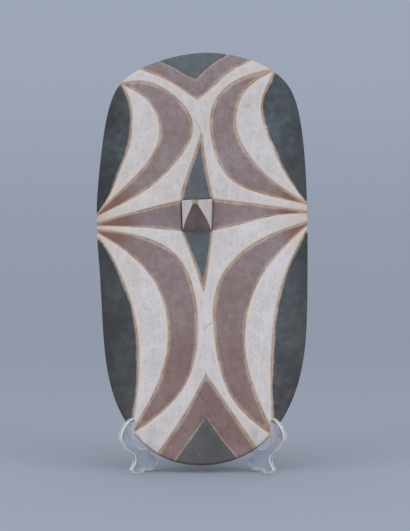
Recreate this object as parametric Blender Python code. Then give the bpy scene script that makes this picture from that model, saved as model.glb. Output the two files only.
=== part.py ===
"""A carved wooden dance shield, painted white, red and black, standing in a clear plastic easel.

The shield is one piece of wood: a thin convex board with a pyramid boss on its face and a grip on its
back. The easel is two clear wings that meet in a seam behind the shield and open towards the front.
Lengths in the constants are in millimetres, and angles in degrees.
"""

import math

import bmesh
import bpy
import numpy as np
from mathutils import Matrix, Vector
from mathutils.geometry import delaunay_2d_cdt

for leftover in list(bpy.data.objects):
    bpy.data.objects.remove(leftover, do_unlink=True)

MM = 0.001

# How the shield stands: its board leans back, and its lowest point hangs just above the floor.
LEAN = 16.0
BOARD_CENTRE_HEIGHT = 346.0
# Its two lower corners differ, so it stands this far to the right, where both seats carry it.
BOARD_SIDE = 0.9

# The board. u runs to the right, v up the face and w out of it, from the middle of the face.
BOARD_THICKNESS = 14.0
CROSS_RADIUS = 903.0
LENGTH_RADIUS = 7400.0
RIM_CHAMFER = 2.0
OUTLINE = [
    (6, 346), (78, 334), (118, 314), (145, 284), (162, 215), (168.5, 95), (167, -50), (157, -182),
    (125, -268), (72, -323), (0, -343), (-70, -326), (-124, -269), (-153, -182), (-165, -45),
    (-173, 55), (-168, 165), (-148, 276), (-118, 311), (-70, 333),
]

# The carving: a V-cut follows every border between two colours, and the coloured fields lie lower.
CUT_DEPTH = 2.2
FIELD_DEPTH = 1.0
WHITE_SHOULDER = 2.0
FIELD_SHOULDER = 2.6
LINE_SPACING = 10.0
RIM_SPACING = 11.0
FILL_SPACING = 24.0
FILL_CLEARANCE = 7.0
SNAP = 0.4
# A shoulder line ends where another cut comes nearer than this share of the shoulder's width.
CROSSING_SHARE = 0.93

# The boss: a pyramid on a low upright foot, its blunt tip a little above and left of the middle.
BOSS_BASE = [(-35.5, 83.5), (15.5, 86), (13.5, 33), (-33.5, 33)]
BOSS_TIP = [(-18.6, 68), (-7, 68), (-8.8, 61), (-16.8, 61)]
BOSS_FOOT = 4.0
BOSS_FOOT_INSET = 1.3
BOSS_HEIGHT = 52.0
BOSS_RINGS = (0.25, 0.5, 0.75, 1.0)
BOSS_BELLY = 0.09
BOSS_EDGE_PARTS = 5
TOP_LEFT, TOP_RIGHT, BOTTOM_RIGHT, BOTTOM_LEFT = BOSS_BASE

# The borders between the colours, each a smooth curve. Those of the stars on both rims and of the
# chevrons run out over the rim, and those of the lozenge and the bands start at the boss.
BORDERS = {
    "panel_top_left": [
        (-139, 297), (-121, 257), (-118, 214), (-122, 180), (-137, 139), (-152, 100), (-177, 60),
    ],
    "crescent_top_left_inner": [(-139, 294), (-87, 256), (-71, 198), (-92, 148), (-131, 106), (-177, 62)],
    "crescent_top_left_outer": [
        (-139, 292), (-93, 293), (-35, 252), (-18, 206), (-40, 158), (-78, 116), (-120, 88), (-177, 61),
    ],
    "panel_top_right": [(120, 316), (96, 251), (109, 192), (134, 135), (173, 79)],
    "crescent_top_right_inner": [(121, 318), (69, 278), (53, 214), (74, 162), (113, 119), (172, 81)],
    "crescent_top_right_outer": [
        (122, 319), (54, 294), (16, 247), (17, 179), (44, 122), (103, 96), (173, 82),
    ],
    "band_left_upper": [TOP_LEFT, (-106, 67), (-177, 48)],
    "band_left_lower": [BOTTOM_LEFT, (-102, 41), (-177, 47)],
    "band_right_upper": [TOP_RIGHT, (87, 78), (173, 69)],
    "band_right_lower": [BOTTOM_RIGHT, (63, 46), (114, 61), (173, 68)],
    "lozenge_top_left": [TOP_LEFT, (-34, 98), (-21, 141), (-3, 199)],
    "lozenge_top_right": [TOP_RIGHT, (4, 142), (-3, 199)],
    "lozenge_bottom_left": [BOTTOM_LEFT, (-15, -18), (0.5, -67)],
    "lozenge_bottom_right": [BOTTOM_RIGHT, (8, -18), (0.5, -67)],
    "crescent_bottom_left_outer": [(-178, 40), (-52, -1), (-11, -98), (-30, -220), (-115, -297)],
    "crescent_bottom_left_inner": [(-177, 39), (-78, -49), (-58, -175), (-114, -297)],
    "panel_bottom_left": [(-178, 33), (-159, 11), (-107, -120), (-113, -298)],
    "crescent_bottom_right_outer": [(173, 54), (81, 11), (25, -55), (19, -144), (47, -241), (111, -299)],
    "crescent_bottom_right_inner": [(173, 52), (89, -47), (66, -170), (111, -300)],
    "panel_bottom_right": [(173, 49), (127, -51), (108, -173), (109, -300)],
    "chevron_top_outer_left": [(-10, 260), (-60, 297), (-111, 320)],
    "chevron_top_outer_right": [(-10, 260), (20, 288), (50, 316), (86, 335)],
    "chevron_top_inner_left": [(-11, 296.5), (-32, 306), (-49, 318), (-82, 333)],
    "chevron_top_inner_right": [(-11, 296.5), (11, 320), (45, 344)],
    "chevron_bottom_outer_left": [(4, -203.5), (-29, -266), (-72, -329)],
    "chevron_bottom_outer_right": [(4, -203.5), (42, -259), (83, -318)],
    "chevron_bottom_inner_left": [(5, -268), (-46, -339)],
    "chevron_bottom_inner_right": [(5, -268), (27, -300), (57, -336)],
}
# Each coloured field as the borders around it. A sign turns a border round, and a pair of numbers
# is a corner beyond the rim.
FIELDS = [
    ["+panel_top_left", (-220, 60), (-220, 297)],
    ["+panel_top_right", (220, 79), (220, 316)],
    ["+panel_bottom_left", (-220, -298), (-220, 33)],
    ["+panel_bottom_right", (220, -300), (220, 49)],
    ["+crescent_top_left_outer", "-crescent_top_left_inner"],
    ["+crescent_top_right_outer", "-crescent_top_right_inner"],
    ["+crescent_bottom_left_outer", "-crescent_bottom_left_inner"],
    ["+crescent_bottom_right_outer", "-crescent_bottom_right_inner"],
    ["+band_left_upper", "-band_left_lower"],
    ["+band_right_upper", "-band_right_lower"],
    ["+lozenge_top_left", "-lozenge_top_right"],
    ["+lozenge_bottom_left", "-lozenge_bottom_right"],
    ["-chevron_top_outer_left", "+chevron_top_outer_right", (86, 400), (-111, 400)],
    ["-chevron_bottom_outer_left", "+chevron_bottom_outer_right", (83, -400), (-72, -400)],
]

# The grip: a bar of the same wood that bows out of the back behind the boss.
GRIP_SIDE = -8.0
GRIP_PATH = [(-30, -8.5), (-16, -35), (14, -50), (58, -54), (102, -50), (132, -35), (146, -8.5)]
GRIP_WIDTH = 28.0
GRIP_DEPTH = 18.0
GRIP_FLARE = 1.35
GRIP_SIDES = 12
GRIP_RINGS = 16

# The easel: each wing is a plate cut to the profile below. s runs forward from the rear seam along
# the plate and z up from the floor.
WING_THICKNESS = 6.0
WING_ANGLE = 30.0
SEAM_BEHIND = 85.0
SEAM_GAP = 0.3
WING_SPACING = 4.0
WING_PROFILE = [
    # The rear edge, straight, and the rounded top of the backrest.
    [(0, 0), (0, 168)],
    [(0, 168), (38, 208), (76, 231), (102, 237), (113.6, 226)],
    # Down the backrest, which leans as the shield does, into the rounded seat and up the hook.
    [(113.6, 226), (164.6, 50)],
    [(164.6, 50), (164.2, 42), (166.4, 37), (170.5, 35.2)],
    [(170.5, 35.2), (192, 37.2)],
    [(192, 37.2), (204, 43), (211.5, 55), (212.5, 68), (210.5, 79), (213.5, 86), (221, 87)],
    # Round the hook's bow, in at the waist and out to the raised toe.
    [(221, 87), (240, 77), (251, 61), (243, 48), (226, 37), (213, 29), (210, 20), (216, 13), (220, 8)],
    [(220, 8), (213, 2), (203, 0)],
    # The front foot, its curled heel and the arch back to the rear foot.
    [(203, 0), (190, 0)],
    [(190, 0), (182, 6), (173, 1.5), (162, 1.5), (151, 5), (146, 12), (149, 19), (156, 21), (158, 26)],
    [(158, 26), (151, 31), (128, 37), (100, 56), (70, 60), (46, 46), (36, 20), (34, 0)],
    [(34, 0), (0, 0)],
]


def smooth_curve(points, spacing, closed=False):
    """Points about one spacing apart on a natural cubic through the given points."""
    points = np.array(points, float)
    count = len(points)
    wrap = 4 if closed else 0
    if closed:
        points = np.vstack([points[-wrap:], points, points[: wrap + 1]])
    knots = np.concatenate([[0], np.cumsum(np.linalg.norm(np.diff(points, axis=0), axis=1) ** 0.5)])
    gaps = np.diff(knots)
    matrix = np.eye(len(points))
    slopes = np.zeros_like(points)
    for i in range(1, len(points) - 1):
        matrix[i, i - 1 : i + 2] = gaps[i - 1], 2 * (gaps[i - 1] + gaps[i]), gaps[i]
        slopes[i] = 6 * ((points[i + 1] - points[i]) / gaps[i] - (points[i] - points[i - 1]) / gaps[i - 1])
    bends = np.linalg.solve(matrix, slopes)
    first, last = knots[wrap], knots[wrap + count] if closed else knots[-1]
    samples = 40
    at = np.linspace(first, last, samples * count)
    span = np.clip(np.searchsorted(knots, at, side="right") - 1, 0, len(gaps) - 1)
    gap = gaps[span][:, None]
    left = (knots[span + 1] - at)[:, None] / gap
    right = 1 - left
    dense = left * points[span] + right * points[span + 1]
    dense += ((left**3 - left) * bends[span] + (right**3 - right) * bends[span + 1]) * gap**2 / 6
    return evenly(dense, spacing, closed)


def evenly(line, spacing, closed=False):
    """The line again, with its points one even spacing apart. A closed one doesn't repeat its start."""
    line = np.array(line, float)
    along = np.concatenate([[0], np.cumsum(np.linalg.norm(np.diff(line, axis=0), axis=1))])
    parts = max(2, round(along[-1] / spacing))
    at = np.linspace(0, along[-1], parts + 1)
    if closed:
        at = at[:-1]
    return np.column_stack([np.interp(at, along, line[:, axis]) for axis in (0, 1)])


def inside(points, polygon):
    """Which points lie in the polygon, by counting the sides that a ray to the right crosses."""
    u, v = points[:, 0, None], points[:, 1, None]
    start, end = polygon, np.roll(polygon, -1, axis=0)
    spans = (start[:, 1] > v) != (end[:, 1] > v)
    rise = np.where(end[:, 1] == start[:, 1], 1, end[:, 1] - start[:, 1])
    crossing = start[:, 0] + (v - start[:, 1]) * (end[:, 0] - start[:, 0]) / rise
    return (spans & (u < crossing)).sum(axis=1) % 2 == 1


def distance(points, lines):
    """How far each point is from the nearest of the lines."""
    start = np.vstack([line[:-1] for line in lines])
    end = np.vstack([line[1:] for line in lines])
    run = end - start
    share = ((points[:, None] - start) * run).sum(axis=2) / (run**2).sum(axis=1)
    nearest = start + np.clip(share, 0, 1)[..., None] * run
    return np.linalg.norm(points[:, None] - nearest, axis=2).min(axis=1)


def loop(line):
    return np.vstack([line, line[:1]])


def inward(line, by):
    """The closed line drawn in towards the board's middle."""
    return line * (1 - by / np.linalg.norm(line, axis=1))[:, None]


def face_level(points):
    """w of the uncarved face: the board curves away across its width and slightly along its length."""
    return -points[:, 0] ** 2 / (2 * CROSS_RADIUS) - points[:, 1] ** 2 / (2 * LENGTH_RADIUS)


def coloured(points, fields):
    found = np.zeros(len(points), bool)
    for field in fields:
        found |= inside(points, field)
    return found


def carve_level(points, borders, fields, rim):
    """w of the carved face: the fields' level, the V along each border, and the rim's chamfer."""
    painted = coloured(points, fields)
    level = np.where(painted, -FIELD_DEPTH, 0.0)
    shoulder = np.where(painted, FIELD_SHOULDER, WHITE_SHOULDER)
    near = np.clip(1 - distance(points, borders) / shoulder, 0, 1)
    level += (-CUT_DEPTH - level) * near
    chamfer = -np.clip(RIM_CHAMFER - distance(points, [loop(rim)]), 0, None)
    return face_level(points) + np.minimum(level, chamfer)


def shoulder_lines(border, borders, fields, rim):
    """The two lines along a border where its V-cut starts, left out where another cut takes them."""
    run = np.gradient(border, axis=0)
    side = np.column_stack([-run[:, 1], run[:, 0]]) / np.linalg.norm(run, axis=1)[:, None]
    for sign in (-1, 1):
        painted = coloured(border + sign * side, fields)
        width = np.where(painted, FIELD_SHOULDER, WHITE_SHOULDER)[:, None]
        line = border + sign * side * width
        kept = distance(line, borders) > CROSSING_SHARE * width[:, 0]
        kept &= (distance(line, [loop(rim)]) > RIM_CHAMFER) | ~inside(line, rim)
        for piece in np.split(np.arange(len(line)), np.flatnonzero(np.diff(kept.astype(int))) + 1):
            if kept[piece[0]] and len(piece) > 1:
                yield line[piece]


def triangulate(lines, loops, points, snap, keep=None):
    """Triangles inside the loops, with edges along all lines: the corners' (u, v), and three for each."""
    corners, edges = [], []
    for line in [*lines, *map(loop, loops)]:
        first = len(corners)
        corners += [Vector(point) for point in line.tolist()]
        edges += [(first + i, first + i + 1) for i in range(len(line) - 1)]
    corners += [Vector(point) for point in points.tolist()]
    corners, _, faces, *_ = delaunay_2d_cdt(corners, edges, [], 1, snap)
    corners = np.array([tuple(corner) for corner in corners])
    faces = np.array(faces)
    if keep:
        faces = faces[keep(corners[faces].mean(axis=1))]
    used = np.unique(faces)
    renumber = np.zeros(len(corners), int)
    renumber[used] = np.arange(len(used))
    return corners[used], renumber[faces]


def boundary_loops(faces):
    """The rings of corners around the edges that only one triangle has."""
    follows = {}
    pairs = {(a, b) for face in faces.tolist() for a, b in zip(face, face[1:] + face[:1])}
    for a, b in pairs:
        if (b, a) not in pairs:
            follows[a] = b
    rings = []
    while follows:
        start, after = follows.popitem()
        ring = [start]
        while after != start:
            ring.append(after)
            after = follows.pop(after)
        rings.append(ring)
    return sorted(rings, key=len)


def fill_points(rim, lines):
    """A loose triangular grid of points over the board, clear of every line."""
    rows = []
    across, up = np.abs(rim).max(axis=0)
    row_spacing = FILL_SPACING * math.sqrt(3) / 2
    for row, v in enumerate(np.arange(-up, up, row_spacing)):
        u = np.arange(-across, across, FILL_SPACING) + FILL_SPACING / 2 * (row % 2)
        rows.append(np.column_stack([u, np.full(len(u), v)]))
    points = np.vstack(rows)
    points = points[inside(points, rim)]
    return points[distance(points, [loop(rim)] + lines) > FILL_CLEARANCE]


def bridge(mesh, lower, upper):
    """Quads between two rings of the same length."""
    count = len(lower)
    for i in range(count):
        j = (i + 1) % count
        mesh.faces.new((lower[i], lower[j], upper[j], upper[i]))


def add_boss(mesh, ring):
    """The boss on the hole that the face leaves for it: upright foot, four facets and the blunt tip."""
    base = np.array(BOSS_BASE, float)
    tip = np.array(BOSS_TIP, float)
    middle = base.mean(axis=0)
    level = float(face_level(middle[None])[0])
    # Where each vertex of the ring stands on the base's outline: its side, and how far along it.
    places = []
    for vert in ring:
        point = np.array((vert.co.x, vert.co.z))
        away = [distance(point[None], [loop(base)[k : k + 2]])[0] for k in range(4)]
        side = int(np.argmin(away))
        run = base[(side + 1) % 4] - base[side]
        places.append((side, float(np.clip((point - base[side]) @ run / (run @ run), 0, 1))))

    def ring_at(outline, w):
        verts = []
        for side, share in places:
            u, v = outline[side] + (outline[(side + 1) % 4] - outline[side]) * share
            verts.append(mesh.verts.new((u, -w, v)))
        return verts

    toward_middle = (middle - base) / np.linalg.norm(middle - base, axis=1)[:, None]
    foot = base + toward_middle * BOSS_FOOT_INSET
    rings = [ring, ring_at(foot, level + BOSS_FOOT)]
    for share in BOSS_RINGS:
        outline = foot + (tip - foot) * share
        # The arrises bow out to the left and right.
        centre = outline[:, 0].mean()
        outline[:, 0] = centre + (outline[:, 0] - centre) * (1 + BOSS_BELLY * math.sin(math.pi * share))
        rings.append(ring_at(outline, level + BOSS_FOOT + (BOSS_HEIGHT - BOSS_FOOT) * share))
    for lower, upper in zip(rings, rings[1:]):
        bridge(mesh, lower, upper)
    mesh.faces.new(rings[-1])


def field_outline(parts, borders):
    """The corners round one coloured field."""
    corners = []
    for part in parts:
        if isinstance(part, str):
            corners += borders[part[1:]][:: 1 if part[0] == "+" else -1].tolist()
        else:
            corners.append(part)
    return np.array(corners, float)


def board_mesh():
    """The board and its boss as one closed mesh, standing upright with its face towards -Y."""
    rim = smooth_curve(OUTLINE, RIM_SPACING, closed=True)
    borders = {name: smooth_curve(points, LINE_SPACING) for name, points in BORDERS.items()}
    fields = [field_outline(parts, borders) for parts in FIELDS]
    base = np.array(BOSS_BASE, float)
    steps = np.arange(BOSS_EDGE_PARTS)[:, None] / BOSS_EDGE_PARTS
    base_loop = np.vstack([base[k] + (base[(k + 1) % 4] - base[k]) * steps for k in range(4)])
    cuts = [*borders.values(), loop(base_loop)]
    lines = list(borders.values())
    for border in cuts:
        lines += list(shoulder_lines(border, cuts, fields, rim))
    spread = fill_points(rim, [*lines, loop(base_loop)])
    spread = spread[~inside(spread, base)]

    def on_face(points):
        return inside(points, rim) & ~inside(points, base)

    loops = [rim, inward(rim, RIM_CHAMFER), base_loop]
    flat, faces = triangulate(lines, loops, spread, SNAP, on_face)
    mesh = bmesh.new()
    front = [mesh.verts.new((u, -w, v)) for (u, v), w in zip(flat, carve_level(flat, cuts, fields, rim))]
    for a, b, c in faces.tolist():
        mesh.faces.new((front[a], front[b], front[c]))
    boss_ring, rim_ring = boundary_loops(faces)
    add_boss(mesh, [front[i] for i in boss_ring])

    # The back follows the face at the board's thickness, with sparse triangles and its own chamfer.
    edge = flat[rim_ring]
    inset = inward(edge, RIM_CHAMFER)
    back_flat, back_faces = triangulate([], [inset], fill_points(inset, []), SNAP / 1000)
    back_w = face_level(back_flat) - BOARD_THICKNESS
    back = [mesh.verts.new((u, -w, v)) for (u, v), w in zip(back_flat, back_w)]
    for a, b, c in back_faces.tolist():
        mesh.faces.new((back[a], back[b], back[c]))
    nearest = [int(np.argmin(np.linalg.norm(back_flat - point, axis=1))) for point in inset]
    wall_w = face_level(edge) - BOARD_THICKNESS + RIM_CHAMFER
    wall = [mesh.verts.new((u, -w, v)) for (u, v), w in zip(edge, wall_w)]
    bridge(mesh, [front[i] for i in rim_ring], wall)
    bridge(mesh, wall, [back[i] for i in nearest])
    bmesh.ops.recalc_face_normals(mesh, faces=mesh.faces)
    return mesh


def grip_mesh():
    """The grip: an oval bar swept along its bow, its ends flared and sunk in the board."""
    path = smooth_curve(GRIP_PATH, 1.0)
    path = evenly(path, np.linalg.norm(np.diff(path, axis=0), axis=1).sum() / GRIP_RINGS)
    runs = np.gradient(path, axis=0)
    mesh = bmesh.new()
    rings = []
    for i, ((v, w), run) in enumerate(zip(path, runs)):
        share = abs(2 * i / (len(path) - 1) - 1)
        flare = 1 + (GRIP_FLARE - 1) * share**3
        across = np.array([-run[1], run[0]]) / np.linalg.norm(run)
        ring = []
        for k in range(GRIP_SIDES):
            angle = 2 * math.pi * (k + 0.5) / GRIP_SIDES
            u = GRIP_SIDE + GRIP_WIDTH / 2 * flare * math.cos(angle)
            off = GRIP_DEPTH / 2 * flare * math.sin(angle)
            ring.append(mesh.verts.new((u, -(w + across[1] * off), v + across[0] * off)))
        rings.append(ring)
    for lower, upper in zip(rings, rings[1:]):
        bridge(mesh, lower, upper)
    mesh.faces.new(rings[0])
    mesh.faces.new(rings[-1])
    bmesh.ops.recalc_face_normals(mesh, faces=mesh.faces)
    return mesh


def wing_mesh(side):
    """One wing, standing on the floor with its front along -Y and the seam on its rear edge."""
    profile = []
    for stretch in WING_PROFILE:
        curved = len(stretch) > 2
        profile += (smooth_curve(stretch, WING_SPACING)[:-1].tolist() if curved else stretch[:1])
    mesh = bmesh.new()
    angle = math.radians(WING_ANGLE)
    sheets = []
    for x in (-WING_THICKNESS / 2, WING_THICKNESS / 2):
        # The seam is a mitre in the display's middle plane, so the inner sheet starts further forward.
        start = (x * math.cos(angle) + SEAM_GAP / 2) / math.sin(angle)
        places = [(max(s, start) if s else start, z) for s, z in profile]
        sheets.append([mesh.verts.new((-side * x, -s, z)) for s, z in places])
    bridge(mesh, *sheets)
    for sheet in sheets:
        mesh.faces.new(sheet)
    bmesh.ops.recalc_face_normals(mesh, faces=mesh.faces)
    bmesh.ops.triangulate(mesh, faces=[face for face in mesh.faces if len(face.verts) > 4])
    return mesh


def material(name, colour, roughness, **more):
    made = bpy.data.materials.new(name)
    made.use_nodes = True
    shader = made.node_tree.nodes["Principled BSDF"]
    shader.inputs["Base Color"].default_value = (*colour, 1)
    shader.inputs["Roughness"].default_value = roughness
    for socket, value in more.items():
        shader.inputs[socket.replace("_", " ")].default_value = value
    return made


def add_object(name, mesh, paint):
    mesh.transform(Matrix.Scale(MM, 4))
    data = bpy.data.meshes.new(name)
    mesh.to_mesh(data)
    mesh.free()
    made = bpy.data.objects.new(name, data)
    bpy.context.scene.collection.objects.link(made)
    if paint:
        data.materials.append(paint)
    return made


PAINT = material("painted_wood", (0.55, 0.53, 0.55), 0.75, Metallic=0.0)
ACRYLIC = material("clear_acrylic", (0.95, 0.96, 0.97), 0.05, Transmission_Weight=1.0, IOR=1.49)

display = bpy.data.objects.new("display", None)
bpy.context.scene.collection.objects.link(display)

shield = add_object("shield", board_mesh(), PAINT)
grip = add_object("grip_shape", grip_mesh(), None)
for piece in (shield, grip):
    piece.parent = display
    piece.location = (BOARD_SIDE * MM, 0, BOARD_CENTRE_HEIGHT * MM)
    piece.rotation_euler.x = -math.radians(LEAN)
grip.hide_render = True
grip.display_type = "WIRE"
union = shield.modifiers.new("grip", "BOOLEAN")
union.operation = "UNION"
union.solver = "EXACT"
union.object = grip

wings = []
for name, side in (("stand_wing_left", -1), ("stand_wing_right", 1)):
    wing = add_object(name, wing_mesh(side), ACRYLIC)
    wings.append(wing)
    wing.parent = display
    wing.location = (0, SEAM_BEHIND * MM, 0)
    wing.rotation_euler.z = side * math.radians(WING_ANGLE)

# The whole display stands on the floor with the middle of its bounding box over the origin.
bpy.context.view_layer.update()
graph = bpy.context.evaluated_depsgraph_get()
corners = []
for piece in (shield, *wings):
    evaluated = piece.evaluated_get(graph)
    corners += [tuple(evaluated.matrix_world @ vert.co) for vert in evaluated.data.vertices]
low, high = np.min(corners, axis=0), np.max(corners, axis=0)
display.location = (-(low[0] + high[0]) / 2, -(low[1] + high[1]) / 2, -low[2])
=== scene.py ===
import math

import bpy
import numpy as np
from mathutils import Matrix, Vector, kdtree, noise
from mathutils.geometry import delaunay_2d_cdt


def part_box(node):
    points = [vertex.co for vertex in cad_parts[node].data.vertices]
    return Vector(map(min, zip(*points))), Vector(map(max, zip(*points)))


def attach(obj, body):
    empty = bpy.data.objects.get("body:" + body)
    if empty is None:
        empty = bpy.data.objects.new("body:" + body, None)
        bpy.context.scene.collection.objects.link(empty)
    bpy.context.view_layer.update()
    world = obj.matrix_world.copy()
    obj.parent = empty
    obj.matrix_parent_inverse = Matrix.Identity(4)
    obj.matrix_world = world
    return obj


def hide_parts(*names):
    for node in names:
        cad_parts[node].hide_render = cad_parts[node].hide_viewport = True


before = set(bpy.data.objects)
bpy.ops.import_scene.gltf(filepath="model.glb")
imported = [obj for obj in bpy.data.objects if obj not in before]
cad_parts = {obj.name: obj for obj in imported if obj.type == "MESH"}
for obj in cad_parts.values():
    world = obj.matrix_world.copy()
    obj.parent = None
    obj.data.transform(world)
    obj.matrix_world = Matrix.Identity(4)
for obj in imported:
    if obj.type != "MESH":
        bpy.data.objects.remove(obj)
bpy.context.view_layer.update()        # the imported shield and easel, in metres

# A dance shield of carved and painted wood, leaning in a clear plastic easel.
# Settings are in millimetres and degrees. On the board, u runs to the right, v up the face
# and w out of it, all from the middle of the face.
mm = 0.001
curveReadings = 60  # a curve is first read this often for each of its points
pointsAtOnce = 20000  # how many points are tested together
linesTried = 3  # how many of the nearest stretches of a line are measured


def smoothCurve(points, gap, closed=False):
    # A natural cubic through the points, read off about one gap apart.
    points = np.array(points, float)
    count = len(points)
    wrap = 4 if closed else 0
    if closed:
        points = np.vstack([points[-wrap:], points, points[: wrap + 1]])
    knots = np.concatenate([[0], np.cumsum(np.linalg.norm(np.diff(points, axis=0), axis=1) ** 0.5)])
    steps = np.diff(knots)
    matrix = np.eye(len(points))
    slopes = np.zeros_like(points)
    for i in range(1, len(points) - 1):
        matrix[i, i - 1 : i + 2] = steps[i - 1], 2 * (steps[i - 1] + steps[i]), steps[i]
        after, before = points[i + 1] - points[i], points[i] - points[i - 1]
        slopes[i] = 6 * (after / steps[i] - before / steps[i - 1])
    bends = np.linalg.solve(matrix, slopes)
    first, last = knots[wrap], knots[wrap + count] if closed else knots[-1]
    at = np.linspace(first, last, curveReadings * count)
    span = np.clip(np.searchsorted(knots, at, side="right") - 1, 0, len(steps) - 1)
    step = steps[span][:, None]
    left = (knots[span + 1] - at)[:, None] / step
    right = 1 - left
    dense = left * points[span] + right * points[span + 1]
    dense += ((left**3 - left) * bends[span] + (right**3 - right) * bends[span + 1]) * step**2 / 6
    return evenly(dense, gap, closed)


def evenly(line, gap, closed=False):
    along = np.concatenate([[0], np.cumsum(np.linalg.norm(np.diff(line, axis=0), axis=1))])
    at = np.linspace(0, along[-1], max(2, round(along[-1] / gap)) + 1)
    if closed:
        at = at[:-1]
    return np.column_stack([np.interp(at, along, line[:, axis]) for axis in (0, 1)])


def closedUp(line):
    return np.vstack([line, line[:1]])


def sideways(line, closed=False):
    # The direction square to the line at each point, to its left.
    run = np.gradient(line, axis=0)
    if closed:
        run = np.roll(line, -1, axis=0) - np.roll(line, 1, axis=0)
    return np.column_stack([-run[:, 1], run[:, 0]]) / np.linalg.norm(run, axis=1)[:, None]


def inside(points, polygon):
    found = np.zeros(len(points), bool)
    start, end = polygon, np.roll(polygon, -1, axis=0)
    rise = np.where(end[:, 1] == start[:, 1], 1, end[:, 1] - start[:, 1])
    low, high = polygon.min(axis=0), polygon.max(axis=0)
    near = np.flatnonzero(((points >= low) & (points <= high)).all(axis=1))
    for part in np.array_split(near, len(near) // pointsAtOnce + 1):
        u, v = points[part, 0, None], points[part, 1, None]
        spans = (start[:, 1] > v) != (end[:, 1] > v)
        crossing = start[:, 0] + (v - start[:, 1]) * (end[:, 0] - start[:, 0]) / rise
        found[part] = (spans & (u < crossing)).sum(axis=1) % 2 == 1
    return found


def gapTo(points, lines):
    # How far each point is from the nearest line, and which line that is.
    start = np.vstack([line[:-1] for line in lines])
    end = np.vstack([line[1:] for line in lines])
    owner = np.repeat(np.arange(len(lines)), [len(line) - 1 for line in lines])
    tree = kdtree.KDTree(2 * len(start))
    for i, (a, b) in enumerate(zip(start.tolist(), end.tolist())):
        tree.insert((a[0], a[1], 0), i)
        tree.insert(((a[0] + b[0]) / 2, (a[1] + b[1]) / 2, 0), i)
    tree.balance()
    found = []
    for u, v in points.tolist():
        found.append([index for _, index, _ in tree.find_n((u, v, 0), linesTried)])
    found = np.array(found)
    best = np.full(len(points), np.inf)
    nearest = np.zeros(len(points), int)
    for k in range(linesTried):
        for shift in (-1, 0, 1):
            at = np.clip(found[:, k] + shift, 0, len(start) - 1)
            run = end[at] - start[at]
            share = np.clip(((points - start[at]) * run).sum(axis=1) / (run**2).sum(axis=1), 0, 1)
            away = np.linalg.norm(points - start[at] - share[:, None] * run, axis=1)
            nearest = np.where(away < best, owner[at], nearest)
            best = np.minimum(best, away)
    return best, nearest


# What the hand left uneven: how much, the size of its bumps in u and v, and the place in the noise.
uneven = {
    "hollows": (0.28, (55, 55), 3.1),
    "strokes": (0.07, (9, 81), 8.4),
    "bareWidth": (0.7, (38, 38), 6.6),
    "edge": (0.35, (22, 22), 5.5),
    "adze": (0.9, (24, 43.2), 12.7),
    "backHollows": (0.36, (60, 60), 2.2),
}


def ripple(points, name, shift=0):
    # Soft noise, up to this much to either side of 0.
    most, size, seed = uneven[name]
    spots = (points / size).tolist()
    return most * np.array([noise.noise(Vector((u, v, seed + shift))) for u, v in spots])


shape = {
    "lean": 16,
    "thickness": 14,
    "crossRadius": 903,  # the face bends back across its width
    "lengthRadius": 7400,  # and a little along its length
    "outline": [
        (6, 346), (78, 334), (118, 314), (145, 284), (162, 215), (168.5, 95), (167, -50),
        (157, -182), (125, -268), (72, -323), (0, -343), (-70, -326), (-124, -269), (-153, -182),
        (-165, -45), (-173, 55), (-168, 165), (-148, 276), (-118, 311), (-70, 333),
    ],
    "rimRound": 2.4,
    "lineGap": 3.0,  # how far apart the points lie: along lines, on the face, on the back
    "faceGap": 3.7,
    "backGap": 5.5,
    "faceClear": 1.5,  # and how far loose ones stay from any line
    "backClear": 3,
    "rowStep": 0.866,  # rows of even triangles lie this much closer than their points
    "halfWidth": 190,  # loose points are laid out this far, beyond the rim
    "halfHeight": 360,
    "joinWithin": 0.25,  # points of crossing cuts this close become one
    "sameWithin": 0.0005,  # and elsewhere only this close
    "cutDepth": 2.2,
    "lip": (0.75, 1.25),  # a cut's lip runs between these shares of its shoulder,
    "lipDepth": 0.15,  # and starts at this share of its depth
    "crossing": 0.93,  # a lip ends where another cut comes nearer than this share of it
    "fieldDepth": 1.0,  # coloured fields lie this much lower than white ones
    "whiteShoulder": 2.0,
    "fieldShoulder": 2.6,
    "slipShoulder": 0.8,  # where the knife slipped it left only a scratch
    "slipDepth": 0.6,
    "whiteBare": 1.8,  # how far from a cut the wood shows: in white, beside white, elsewhere
    "fieldBare": 3.0,
    "sootBare": 2.4,
    "narrowBare": 1.9,
    "bossBare": 0.9,
    "starBare": 0.5,  # how much less that is near where cuts meet
    "tipBare": 1.2,  # and how much more it is at the very tips
    "sideProbe": 1.5,  # the colours beside a cut are read this far from it
    "faintCut": 0.52,  # between two coloured fields a cut is nearly painted over
    "softEdge": 0.3,  # the wood falls off this much towards each cut
    "softReach": 7,
    "panelSheenFade": ((112, 167), (0, 0.42)),  # painted sheen: the black panels are painted darker towards the rim
    "rimDarkening": ((30, 0.12), (60, 0.4), (90, 0.6)),  # how much darker each turn over the rim is painted
    "rimDarkeningRise": (180, 280),  # it lies on the upper part alone
    "edgeRings": (0.35, 0.7, 1),
    "adzeFade": 12,  # the facets of the back fade out towards the rim
}

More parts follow.
